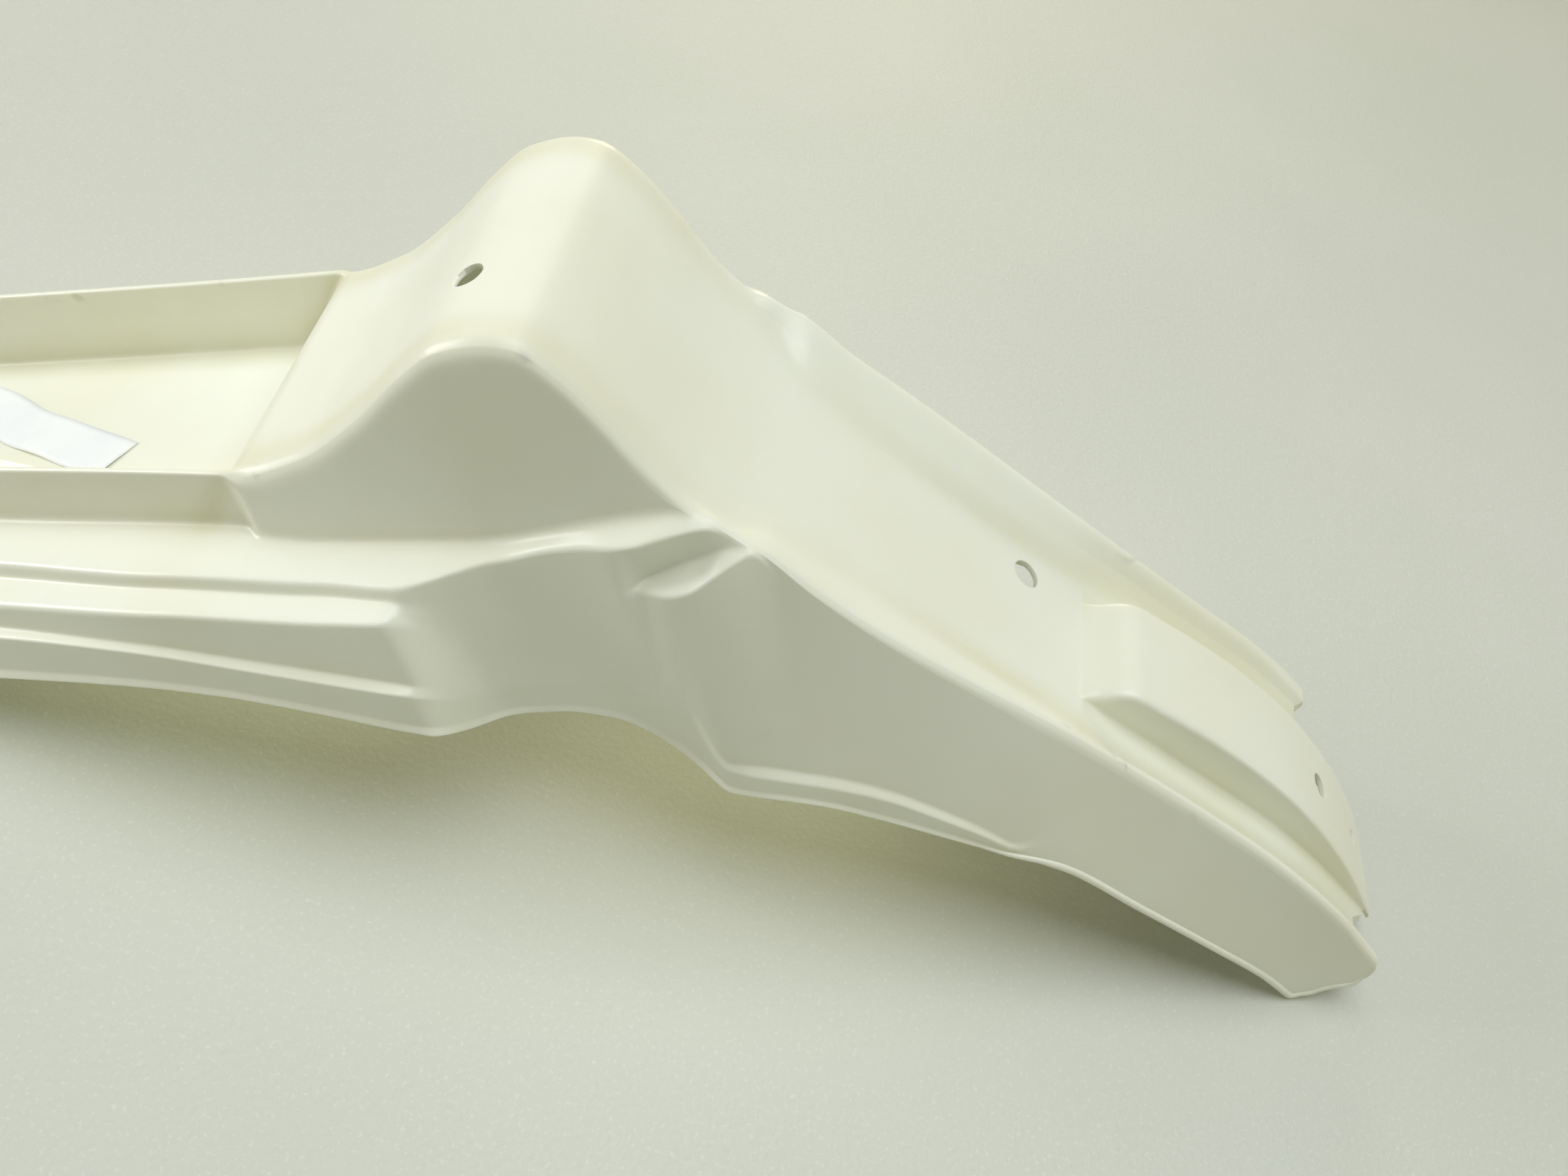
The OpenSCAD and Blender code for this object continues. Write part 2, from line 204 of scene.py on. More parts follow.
# %% Ledges, bead and bottom edge
foot = line([
    [0, 46, 10.8], [100, 50.5, 10], [186, 53, 8.7], [191, 57.5, 8], [212, 58, 6], [262, 58, 6],
    [273, 57.5, 7], [290, 57.7, 10.5], [300, 58, 13], [314, 57, 14.6], [323, 56, 14.8],
    [329, 55.7, 12.9], [336, 56, 9.2]])
ledge_1 = line([
    [0, 63.5, 10], [106, 70, 9], [165, 74.5, 8.3], [216, 74.5, 5.2], [240, 76.5, 5], [248, 75, 5],
    [257, 70.5, 4.5], [270, 65.5, 4.6], [286, 64.3, 7.6], [297, 64.9, 9.2], [307, 66.2, 10.1],
    [313, 66, 10.1], [321, 63.3, 10.5], [328, 60, 10.2], [334, 57.6, 9.5], [338, 56.7, 7.4]])
ledge_2_in = line([
    [0, 64.3, 5], [103, 71, 4.3], [162, 75.2, 3.6], [214, 75.7, 0.5], [245, 78, 0.3],
    [307, 63.5, -8], [314, 60, -7.6], [322, 58.2, -4.9], [331, 57.2, -2], [339, 57.2, 1.2],
    [345, 57, 0.8], [349, 56.9, -1.6]])
ledge_2 = line([
    [0, 77, 4.6], [110, 83, 4], [167, 86, 3.2], [218, 86.2, 0], [238, 86.4, -0.2], [248, 80, -0.4],
    [307, 64.5, -8.4], [315, 66.2, -8.7], [321, 67.2, -9.2], [327, 66.6, -8.3], [335.5, 64, -3.8],
    [341.8, 60.8, -1.2], [347, 57.9, -0.4], [350, 57.4, -2.4]])
ledge_3_in = line([
    [0, 79, -2], [104, 84, -5], [148, 86.6, -8.8], [196, 87.4, -17.8], [236, 88.5, -25.3],
    [250, 88.5, -29], [317, 67.2, -91.8], [335, 68.4, -91.8], [348, 68.9, -93.8],
    [362, 69.2, -96.6], [377, 69.3, -102.2], [397, 69.1, -115.4], [408, 68.9, -124.2],
    [418, 68.9, -133.8], [427, 68.8, -142]])
ledge_3 = line([
    [0, 83, -2.6], [106, 88.2, -5.6], [150, 90, -9.6], [196, 91.2, -18.5], [234, 92.3, -26],
    [250, 90, -30], [317, 68.6, -93], [335, 71.9, -93.9], [348, 72.4, -95.9], [362, 72.6, -98.8],
    [377, 72.4, -104.4], [397, 71.8, -117.2], [408, 71.1, -125.9], [418, 70.5, -135],
    [427, 69.6, -142.8]])
hem = line([
    [0, 89.5, -19], [100, 91, -22.8], [143, 91.6, -25], [175, 92.1, -29], [205, 92.7, -36],
    [230, 93.3, -43], [240, 93, -46.3], [244, 87.5, -52], [248, 77, -61], [253, 69.5, -65.8],
    [262, 67, -66.8], [273, 66.6, -66.4], [285, 66.4, -68.5], [293, 66.6, -71.2],
    [301, 67.5, -76.5], [309, 69.2, -83.4], [314, 70.5, -88.7], [318.5, 71.4, -96.5],
    [323, 72.2, -102.6], [341, 73.8, -104], [356, 74.1, -106.6], [371, 73.6, -112.9],
    [396, 72.6, -125.7], [411, 71.3, -134.3], [424, 70.3, -140.5], [435, 69.2, -147.1],
    [461, 66.8, -175.5], [488, 64.7, -204.9], [510, 61.9, -231.6], [521.5, 59.7, -251.2]])
full_1 = held([[0, 1], [333, 1], [338.5, 0]])
full_2 = held([[0, 1], [237, 1], [249, 0], [307, 0], [312, 1], [346, 1], [351, 0]])
full_3 = held([[0, 1], [236, 1], [251, 0], [317, 0], [323, 1], [416, 1], [429, 0]])
sunk_1 = held([[0, 0.1, 0.2], [345, 0.1, 0.2], [362, 0.4, 0.7]])
sunk_2 = held([
    [0, 0.15, 0.35], [284, 0.15, 0.35], [303, 0.19, 0.22], [313, 0.19, 0.22], [346, 0.03, 0.05],
    [353, 0.03, 0.06], [382, 0.12, 0.24], [430, 0.3, 0.5]])
lip = held([[0, 1.5], [404, 1.5], [426, 0.2]])
print("bottom edge falls to", round(float(hem[-1, 1]), 1), "mm")

# %% [markdown]
# ## The section
#
# At every place the half section is a chain of 14 corners, from the middle of the floor to the bottom
# edge. The tongue, the floor's fold, the rim, the ledges and the lip are all in it. Where a feature
# is absent its corners lie on a straight line and vanish when the chain is rounded.

# %% Corners of the upper side
SUNK_3_IN, SUNK_3, BAND = 0.55, 0.68, 0.86  # shares of the way down to the bottom edge
floor_z = np.where((fine > 303) & (fine < 440), slide_z, edge_z - dip)
tongue_top = np.where(fine < RAMP, floor_z, np.maximum(tongue_z, floor_z))
tail = np.clip((fine - HIP) / 19, 0, 1)


def pair(y, z):
    """Joins half widths and heights into points of a section."""
    return np.stack(np.broadcast_arrays(y, z), -1)


def upper_corners():
    """14 corners for every place: tongue, fold, rim, three ledges, lip and bottom edge."""
    rim_in = pair(edge_y - edge_flat[:, 0] + tail, edge_z)
    rim_out = pair(edge_y + tail, edge_z - edge_flat[:, 1])
    above = mix(rim_out, ledge_1, full_1)
    below = mix(hem, ledge_3_in, full_3)
    l2i = mix(mix(above, below, sunk_2[:, 0]), ledge_2_in, full_2)
    l2o = mix(mix(above, below, sunk_2[:, 1]), ledge_2, full_2)
    l1i = mix(mix(rim_out, l2i, sunk_1[:, 0]), foot, full_1)
    l1o = mix(mix(rim_out, l2i, sunk_1[:, 1]), ledge_1, full_1)
    l3i = mix(mix(l2o, hem, SUNK_3_IN), ledge_3_in, full_3)
    l3o = mix(mix(l2o, hem, SUNK_3), ledge_3, full_3)
    band = mix(l3o, hem, BAND) - pair(lip, 0)
    floor = [pair(0.0, tongue_top), pair(TONGUE_HALF, tongue_top), pair(TONGUE_HALF + 1.0, floor_z),
             pair(edge_y - fold_in, floor_z)]
    return np.stack(floor + [rim_in, rim_out, l1i, l1o, l2i, l2o, l3i, l3o, band, hem], 1)


upper = upper_corners()
print("upper side:", upper.shape[0], "sections of", upper.shape[1], "corners")

# %% [markdown]
# The under side runs one wall thickness below. A section cuts a sloping wall at a slant, so the
# wall looks thicker in the section than it is: the offset grows with the slope along the fender. Two
# neighbouring offsets meet in a mitre. The tray's wall is a special case: it stands on the first
# ledge as a plain upright strip, while the hump behind it is a hollow shell.

# %% Corners of the under side
FAR_MITRE = 1.6  # a mitre reaches at most this many walls from its corner
TRAY_END, TURNS_HOLLOW = 169.5, 3.0  # where the solid tray wall gives way to the hollow hump


def inward(a, b):
    """Unit normal, towards the inside, of the segment from a to b."""
    u = (b - a) / np.maximum(np.linalg.norm(b - a, axis=-1, keepdims=True), 1e-9)
    return np.stack([u[..., 1], -u[..., 0]], -1)


def mitre(a, b, c, d, e):
    """The corner b moved inwards so that it is d from the segment before it and e from the next."""
    m, n = inward(a, b), inward(b, c)
    det = m[..., 0] * n[..., 1] - m[..., 1] * n[..., 0]
    flat = np.abs(det) < 0.08
    mean = (m + n) / np.maximum(np.linalg.norm(m + n, axis=-1, keepdims=True), 1e-9)
    straight = b + mean * ((d + e) / 2)[..., None]
    safe = np.where(flat, 1, det)
    cut = np.stack([(d * n[..., 1] - e * m[..., 1]) / safe, (m[..., 0] * e - n[..., 0] * d) / safe], -1)
    length = np.linalg.norm(cut, axis=-1)
    cut *= np.minimum(1, FAR_MITRE * np.maximum(d, e) / np.maximum(length, 1e-9))[..., None]
    return np.where(flat[..., None], straight, b + cut)


def slope_of(values):
    """Change of values per millimetre along the fender, over 3 mm."""
    n = int(round(1.5 / STEP))
    padded = np.concatenate([np.repeat(values[:1], n, 0), values, np.repeat(values[-1:], n, 0)])
    return (padded[2 * n:] - padded[:-2 * n]) / (2 * n * STEP)


def under_corners(p):
    """The same 14 corners one wall below, for the corners p of the upper side."""
    move = slope_of(p)
    w = []
    for i in range(13):
        climb = np.sum(inward(p[:, i], p[:, i + 1]) * (move[:, i] + move[:, i + 1]) / 2, -1)
        w.append(WALL * np.sqrt(1 + climb ** 2))
    floor_wall = WALL * np.sqrt(1 + slope_of(floor_z) ** 2)
    zf = floor_z - floor_wall
    top_wall = WALL * np.sqrt(1 + slope_of(tongue_top) ** 2)
    zt = np.where(fine < RAMP + 2, zf, np.maximum(tongue_top - top_wall, zf))
    hollow = np.clip((fine - TRAY_END) / TURNS_HOLLOW, 0, 1)
    side = edge_y - mix(0.3, WALL, hollow)
    foot_z = p[:, 6, 1] - WALL
    h = zf - foot_z
    shell_foot = mitre(p[:, 5], p[:, 6], p[:, 7], w[5], w[6])
    foot_y = mix(p[:, 5, 0] + 0.4, shell_foot[:, 0], hollow)
    box = [pair(side, zf), pair(side, zf - 0.3 * h), pair(mix(side, foot_y, 0.6 * hollow), zf - 0.65 * h),
           pair(foot_y, foot_z)]
    fold = mitre(pair(0.0, floor_z), p[:, 3], p[:, 4], floor_wall, w[3])
    peak = mitre(p[:, 3], (p[:, 4] + p[:, 5]) / 2, p[:, 6], w[3], w[5])
    bent = [fold, mix(fold, peak, 0.92), mix(peak, shell_foot, 0.08), shell_foot]
    blend = [mix(a, b, tail) for a, b in zip(box, bent)]
    ledges = [mitre(p[:, i - 1], p[:, i], p[:, i + 1], w[i - 1], w[i]) for i in range(7, 13)]
    end = p[:, 13] + inward(p[:, 12], p[:, 13]) * WALL
    middle = [pair(0.0, zt), pair(TONGUE_HALF - WALL, zt), pair(TONGUE_HALF - WALL + 1.0, zf)]
    return np.stack(middle + blend + ledges + [end], 1)


under = under_corners(upper)
print("under side lowest", round(float(under[..., 1].min()), 1), "mm")

# %% [markdown]
# ## Rounding the corners
#
# Injection moulds have no sharp corners. Each inner corner of the chain becomes a short quadratic
# curve that starts and ends a set distance from it. An outside corner of the upper side has a
# radius larger by one wall than the matching corner of the under side, and an inside corner the
# reverse, so the wall keeps its thickness round every bend.

# %% Rounded sections
CURVE = np.array([0.0, 1 / 3, 2 / 3, 1.0])
BETWEEN = [3, 1, 3, 3, 1, 5, 2, 1, 2, 4, 2, 3, 1]


def rounded(p, reach):
    """Rows of points along the chain p, with corner k rounded over reach[k] mm at either side.

    A corner is (1-t)^2 A + 2 t (1-t) B + t^2 C, and straight stretches are filled with points that
    gather towards their ends. Returns the rows and, for every row, its place among the corners."""
    rows, place = [p[:, 0]], [0.0]
    leave = p[:, 0]
    for k in range(1, p.shape[1] - 1):
        before, after = p[:, k - 1] - p[:, k], p[:, k + 1] - p[:, k]
        lb = np.linalg.norm(before, axis=-1, keepdims=True)
        la = np.linalg.norm(after, axis=-1, keepdims=True)
        r = np.broadcast_to(np.asarray(reach[k], float), fine.shape)[:, None]
        a = p[:, k] + before / np.maximum(lb, 1e-9) * np.minimum(r, 0.45 * lb)
        c = p[:, k] + after / np.maximum(la, 1e-9) * np.minimum(r, 0.45 * la)
        n = BETWEEN[k - 1]
        fill = 0.5 - 0.5 * np.cos(np.pi * np.arange(1, n + 1) / (n + 1))
        rows += [mix(leave, a, f) for f in fill]
        place += list(k - 0.85 + 0.7 * fill)
        rows += [(1 - t) ** 2 * a + 2 * t * (1 - t) * p[:, k] + t * t * c for t in CURVE]
        place += list(k - 0.15 + 0.3 * CURVE)
        leave = c
    n = BETWEEN[-1]
    fill = np.arange(1, n + 2) / (n + 1)
    rows += [mix(leave, p[:, -1], f) for f in fill]
    place += list(p.shape[1] - 1.85 + 0.85 * fill)
    return np.stack(rows, 1), np.array(place)


def soften(values, width):
    """Gaussian smoothing along the fender, over width mm, keeping both ends where they are."""
    reach = int(3 * width / STEP)
    weight = np.exp(-0.5 * (np.arange(-reach, reach + 1) * STEP / width) ** 2)
    weight /= weight.sum()
    before = 2 * values[:1] - values[reach:0:-1]
    after = 2 * values[-1:] - values[-2:-reach - 2:-1]
    padded = np.concatenate([before, values, after])
    return sum(w * padded[i:i + len(values)] for i, w in enumerate(weight))


hump = held([[0, 0], [188, 0], [198, 1], [326, 1], [345, 0]])
trough = held([[0, 0], [326, 0], [350, 1], [552, 1]])
rim_reach = 1.1 + 2.2 * hump + 3.4 * trough
fold_reach = 2.2 + 5.0 * hump + 7.0 * trough
crisp = held([[0, 1], [318, 1], [328, 0.5], [350, 0.6], [380, 1]])
reach = [0, 3.0, 2.4, fold_reach, rim_reach, rim_reach, 2.4 * crisp, 1.6 * crisp, 1.2, 1.8 * crisp,
         0.9, 0.8, 0.6, 0]
grow = [0, -1, 1, 1, -1, -1, 1, -1, 1, -1, 1, -1, 1, 0]  # 1 where the under side's radius is larger
under_reach = [np.maximum(r + g * WALL, 0.3) for r, g in zip(reach, grow)]
upper_rows, place = rounded(upper, reach)
under_rows, _ = rounded(under, under_reach)
SOFT = 1.2
upper_rows, under_rows = soften(upper_rows, SOFT), soften(under_rows, SOFT)
rows = len(place)
print(rows, "rows from the middle to the bottom edge")

# %% [markdown]
# ## Stations and the tail's end
#
# The sections are taken at stations that crowd together where the form changes fast. At the tail the
# rows don't all end at one place: the tongue runs on past the trough's floor, and the side skins end
# in a rounded sweep. Each row is stretched to an end of its own behind the last plain station. The
# far side's skin and trough floor end a little sooner than the near side's.

# %% Stations
EDGE = 0.55  # radius on the sheet's cut edges


def stations():
    """Distances of the sections, from stretches of [first, spacing, last]."""
    stretches = [
        [0, 7, 147], [151, 1.6, 168.6], [171, 2.5, 183.5], [185, 0.75, 194], [196.5, 2.6, 232.9],
        [234.5, 1.1, 256.5], [258.5, 2.2, 298.1], [300, 1.35, 355.4], [358.5, 3.4, 433.3],
        [436, 0.9, 462.1], [464.5, 2.9, 513.8], [516, 1.6, 556]]
    x = np.concatenate([np.arange(a, c + 1e-6, b) for a, b, c in stretches])
    return np.clip(x, EDGE, None)


def row_ends(share_down, floor_end, shorter):
    """Where each row ends: tongue, its side, the trough's floor, its wall and the swept skin.

    The skin's end runs down from the tip along a sweep, level at first and steep at the last."""
    groove_end = GROOVE_END - 0.4 * shorter
    ends = np.interp(place, [0, 0.8, 1.2, 2, 2.9, 3.1, 3.85],
                     [TONGUE_END, TONGUE_END, 554.8, groove_end, floor_end, floor_end, TIP - shorter])
    sweep = [[0, TIP], [0.09, 552.6], [0.28, 549], [0.54, 541], [0.81, 530], [1, SKIN_END]]
    return np.where(place >= 3.85, line(sweep, share_down) - shorter, ends) - EDGE


x_stations = stations()
at_flare = upper_rows[np.searchsorted(fine, FLARE)]
length = np.concatenate([[0], np.cumsum(np.linalg.norm(np.diff(at_flare, axis=0), axis=-1))])
rim_row = np.searchsorted(place, 4.5)
share = np.clip((length - length[rim_row]) / (length[-1] - length[rim_row]), 0, 1)


def row_places(ends, begin):
    """Distance of every row at every station: plain up to begin, then stretched to its own end."""
    x = x_stations[:, None]
    stretch = np.clip((x - begin) / (TONGUE_END - begin), 0, 1)
    return np.where(x <= begin, x, begin + stretch * (ends[None, :] - begin))


near_x = row_places(row_ends(share, NEAR_FLOOR_END, 0.0), FLARE)
far_x = row_places(row_ends(share, FAR_FLOOR_END, FAR_SHORTER), FLARE - FAR_SHORTER)
last_x = far_x[-1].min(), near_x[-1].max()
print(len(x_stations), "stations, rows end between", np.round(last_x, 1))

# %% [markdown]
# ## One closed skin
#
# The upper and under rows of the near half, mirrored, and of the far half make a ring at every
# station. The ring closes round both bottom edges, and two narrow strips close the front and the
# tail. The sheet's cut edges get a small radius as well, which catches a thin line of light.

# %% The shell


def sheet(sections, row_x):
    """Points [station, row, xyz] of one side, read from the fine sections at each row's own x."""
    at = (row_x - fine[0]) / STEP
    i = np.clip(at.astype(int), 0, len(fine) - 2)
    t = (at - i)[..., None]
    j = np.arange(rows)[None, :]
    yz = sections[i, j] * (1 - t) + sections[i + 1, j] * t
    return np.concatenate([row_x[..., None], yz], -1)


def unit(v):
    """Vectors scaled to length 1."""
    return v / np.maximum(np.linalg.norm(v, axis=-1, keepdims=True), 1e-9)


def corner(start, tip, across):
    """Two more lines for a rounded edge: the middle and the end of the curve A, B, C with A at
    start, B at tip and C one radius across the edge from B."""
    end = tip + across * EDGE
    return 0.25 * start + 0.5 * tip + 0.25 * end, end


def half_ring(u, d):
    """One half of every ring: out along the upper side u, round the edge and back beneath along d."""
    out_u, out_d = unit(u[:, -1] - u[:, -2]), unit(d[:, -1] - d[:, -2])
    across = unit(d[:, -1] - u[:, -1])
    tip_u, tip_d = u[:, -1].copy(), d[:, -1].copy()
    u[:, -1] -= out_u * EDGE
    d[:, -1] -= out_d * EDGE
    mid_u, end_u = corner(u[:, -1], tip_u, across)
    mid_d, end_d = corner(d[:, -1], tip_d, -across)
    edge = np.stack([mid_u, end_u, end_d, mid_d], 1)
    return np.concatenate([u, edge, d[:, ::-1]], 1)


def closed_shell(far, near):
    """The wall's points [ring, place, xyz] and its faces, from its far half and its near half.

    A ring runs from the middle of the upper side out to one bottom edge, back beneath to the middle,
    and round the other half. Faces are taken so that they point out of the plastic."""
    last = far.shape[1] - 1
    ring = np.concatenate([far, near[:, last - 1:0:-1] * np.array([1, -1, 1])], 1)
    n = ring.shape[1]
    partner = np.concatenate([last - np.arange(last + 1), n - last + np.arange(last - 1, 0, -1)])

    def finish_end(ring_end, ring_before):
        tip = ring_end + unit(ring_end - ring_before) * EDGE
        middle_line, end_line = corner(ring_end, tip, unit(tip[partner] - tip))
        return [middle_line, end_line]
    front, back = finish_end(ring[0], ring[1]), finish_end(ring[-1], ring[-2])
    ring = np.concatenate([np.stack(front[::-1]), ring, np.stack(back)])
    m = len(ring)
    i, j = np.meshgrid(np.arange(m - 1), np.arange(n), indexing="ij")
    k = (j + 1) % n
    skin = np.stack([i * n + j, (i + 1) * n + j, (i + 1) * n + k, i * n + k], -1).reshape(-1, 4)
    line_of = (np.arange(-(rows + 1), rows + 2)) % n
    a, b = line_of[:-1], line_of[1:]
    cap = np.stack([a, b, partner[b], partner[a]], -1)
    return ring, np.concatenate([skin, cap, cap[:, ::-1] + (m - 1) * n])


far_half, near_half = [half_ring(sheet(upper_rows, x), sheet(under_rows, x)) for x in (far_x, near_x)]
ring, faces = closed_shell(far_half, near_half)
points = rest(ring.reshape(-1, 3))


def volume(p, quads):
    """Enclosed volume: the sum of a . (b x c) / 6 over all triangles."""
    t = np.concatenate([quads[:, [0, 1, 2]], quads[:, [0, 2, 3]]])
    return np.einsum("ij,ij->i", p[t[:, 0]], np.cross(p[t[:, 1]], p[t[:, 2]])).sum() / 6


print(len(points), "points,", 2 * len(faces), "triangles,", round(volume(points, faces) * 1e6, 1), "cm3")

# %% [markdown]
# ## Into Blender
#
# Numpy arrays go into a mesh in whole blocks. The object stays at the origin, unturned: its place is
# in its points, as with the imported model.

# %% A mesh from arrays


def put_mesh(name, points, quads, smooth=True):
    """A mesh object from an array of points and an array of four-sided faces."""
    mesh = bpy.data.meshes.new(name)
    mesh.vertices.add(len(points))
    mesh.vertices.foreach_set("co", np.ascontiguousarray(points, np.float32).ravel())
    mesh.loops.add(quads.size)
    mesh.loops.foreach_set("vertex_index", np.ascontiguousarray(quads, np.int32).ravel())
    mesh.polygons.add(len(quads))
    mesh.polygons.foreach_set("loop_start", np.arange(0, quads.size, 4, dtype=np.int32))
    mesh.polygons.foreach_set("use_smooth", np.full(len(quads), smooth))
    mesh.update(calc_edges=True)
    mesh.validate()
    obj = bpy.data.objects.new(name, mesh)
    bpy.context.scene.collection.objects.link(obj)
    return obj


def merge_doubles(obj, distance):
    """Joins points closer than distance, which closes the poles of turned shapes."""
    modifier = obj.modifiers.new("merge", "WELD")
    modifier.merge_threshold = distance


def apply_modifiers(obj):
    """Replaces the object's mesh by the one its modifiers make."""
    graph = bpy.context.evaluated_depsgraph_get()
    graph.update()
    mesh = bpy.data.meshes.new_from_object(obj.evaluated_get(graph))
    obj.modifiers.clear()
    old, obj.data = obj.data, mesh
    bpy.data.meshes.remove(old)


fender = put_mesh("fender_moulding", points, faces)
print(fender.name, "has", len(fender.data.polygons), "faces")

# %% [markdown]
# ## The rolled edge of the tail
#
# Behind the last ledge the skin's edge is rolled: a round bead, a little thicker than the wall, runs
# along the bottom and on round the swept end up to the tip. It is a closed tube along the middle of
# the wall's edge, sunk halfway into the wall: it grows out of the wall and closes inside it.

# %% Rolled edge
ROLL_FROM, ROLL, ROLL_THIN = 400.0, 1.55, 0.4
ROLL_GROWS, ROLL_CLOSES = 30, 12  # path points over which the bead swells, and thins at its end
FULL_SHIFT, THIN_SHIFT = np.array([-0.3, 0.45, 0.6]), np.array([0, -0.2, 0.9])


def edge_path(row_x, spacing=1.1):
    """Middle of the wall's edge: back along the last row, then up along the rows' ends to the tip.

    The path is read off at even arc lengths and smoothed by the weights 1 2 3 2 1."""
    middle_line = (sheet(upper_rows, row_x) + sheet(under_rows, row_x)) / 2
    along = middle_line[x_stations > ROLL_FROM, -1]
    up = middle_line[-1, rows - 2:np.searchsorted(place, 4.6):-1]
    path = np.concatenate([along, up])
    arc = np.concatenate([[0], np.cumsum(np.linalg.norm(np.diff(path, axis=0), axis=-1))])
    even = np.arange(0, arc[-1], spacing)
    path = np.stack([np.interp(even, arc, path[:, k]) for k in range(3)], -1)
    for _ in range(2):
        padded = np.pad(path, ((2, 2), (0, 0)), mode="reflect", reflect_type="odd")
        path = sum(w * padded[k:k + len(path)] for k, w in enumerate([1, 2, 3, 2, 1])) / 9
    return path


def tube(path, radius, sides=12):
    """A closed tube: every path point plus radius times cos and sin in the plane across the path."""
    ahead = unit(np.gradient(path, axis=0))
    outward = np.array([0.0, 1.0, 0.0]) - ahead * ahead[:, 1:2]
    outward = unit(outward)
    third = np.cross(ahead, outward)
    angle = np.linspace(0, 2 * np.pi, sides, endpoint=False)[:, None]
    radius = np.concatenate([[0], radius, [0]])[:, None, None]
    path, outward, third = [np.concatenate([v[:1], v, v[-1:]])[:, None] for v in (path, outward, third)]
    grid = path + radius * (np.cos(angle) * outward + np.sin(angle) * third)
    i, j = np.meshgrid(np.arange(len(grid) - 1), np.arange(sides), indexing="ij")
    k = (j + 1) % sides
    quads = np.stack([i * sides + j, i * sides + k, (i + 1) * sides + k, (i + 1) * sides + j], -1)
    return grid, quads.reshape(-1, 4)


def rolled_edge(name, row_x, side):
    """The bead of one side, thin where it begins and ends: side is 1 for far and -1 for near."""
    path = edge_path(row_x)
    i = np.arange(len(path))
    full = np.clip(i / ROLL_GROWS, 0, 1) * np.clip((len(path) - 1 - i) / ROLL_CLOSES, 0, 1)
    radius = ROLL_THIN + (ROLL - ROLL_THIN) * full
    path = path + FULL_SHIFT * full[:, None] + THIN_SHIFT * (1 - full[:, None])
    grid, quads = tube(path, radius)
    grid = grid * np.array([1, side, 1])
    return put_mesh(name, rest(grid.reshape(-1, 3)), quads if side > 0 else quads[:, ::-1])


rolls = [rolled_edge("rolled_edge_far", far_x, 1), rolled_edge("rolled_edge_near", near_x, -1)]
for roll in rolls:
    merge_doubles(roll, 1e-5)
    apply_modifiers(roll)
    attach(roll, "root")
print("rolled edges:", [len(roll.data.polygons) for roll in rolls], "faces")

# %% [markdown]
# ## The screw holes
#
# Four holes go through the wall: one on the hump's front slope, one in the trough and two at the
# tongue's end. Each is cut by a turned tool that stands square to the surface. Its profile opens a
# little at both faces of the wall, so the hole gets the fine chamfer that a moulded hole has.

# %% Hole cutters
CHAMFER = 0.3


def height_at(values, x):
    """Height of a line of fine values at x."""
    return float(np.interp(x, fine, values))


def turned_tool(x, y, values, diameter, sides=72):
    """A tool turned about the surface's normal at (x, y): radius against height, carried round.

    Height 0 is the upper face and -WALL the under face."""
    slope = (height_at(values, x + 2) - height_at(values, x - 2)) / 4
    normal = unit(np.array([-slope, 0.0, 1.0]))
    along = np.array([normal[2], 0.0, -normal[0]])
    r = diameter / 2
    profile = np.array([
        [0, 2.5], [r + CHAMFER + 2.5, 2.5], [r + CHAMFER, 0], [r, -CHAMFER], [r, -WALL + CHAMFER],
        [r + CHAMFER, -WALL], [r + CHAMFER + 2.5, -WALL - 2.5], [0, -WALL - 2.5]])
    angle = np.linspace(0, 2 * np.pi, sides, endpoint=False)
    radius, height = profile[:, 0, None, None], profile[:, 1, None, None]
    circle = np.cos(angle)[:, None] * along + np.sin(angle)[:, None] * np.array([0.0, 1.0, 0.0])
    centre = np.array([x, y, height_at(values, x)])
    grid = centre + radius * circle + height * normal
    i, j = np.meshgrid(np.arange(len(profile) - 1), np.arange(sides), indexing="ij")
    k = (j + 1) % sides
    quads = np.stack([i * sides + j, (i + 1) * sides + j, (i + 1) * sides + k, i * sides + k], -1)
    return rest(grid.reshape(-1, 3)), quads.reshape(-1, 4)


print("tools open by", CHAMFER, "mm at both faces")

# %% Drilling
HOLES = [(270, -19, floor_z, 10.0), (421, 19, floor_z, 11.0), (532, 1, tongue_top, 10.0),
         (549, 3, tongue_top, 5.5)]  # place along and across, surface, diameter
tools = [put_mesh("tool_%d" % n, *turned_tool(*hole)) for n, hole in enumerate(HOLES)]
for tool in tools:
    merge_doubles(tool, 1e-5)
    apply_modifiers(tool)
    cut = fender.modifiers.new(tool.name, "BOOLEAN")
    cut.operation, cut.solver, cut.object = "DIFFERENCE", "EXACT", tool
apply_modifiers(fender)
for tool in tools:
    bpy.data.objects.remove(tool)
print("after drilling:", len(fender.data.vertices), "points")
weighted = fender.modifiers.new("weighted normals", "WEIGHTED_NORMAL")
weighted.weight = 60
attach(fender, "root")
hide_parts("rear_fender")

# %% [markdown]
# ## Writing materials
#
# A material is a network of nodes, but its maths reads best as an expression. The small class below
# wraps one output of a node. Adding, subtracting or multiplying two of them adds the Math node for
# it, and so does a number on either side, as in 1 - mask.

# %% Shader maths


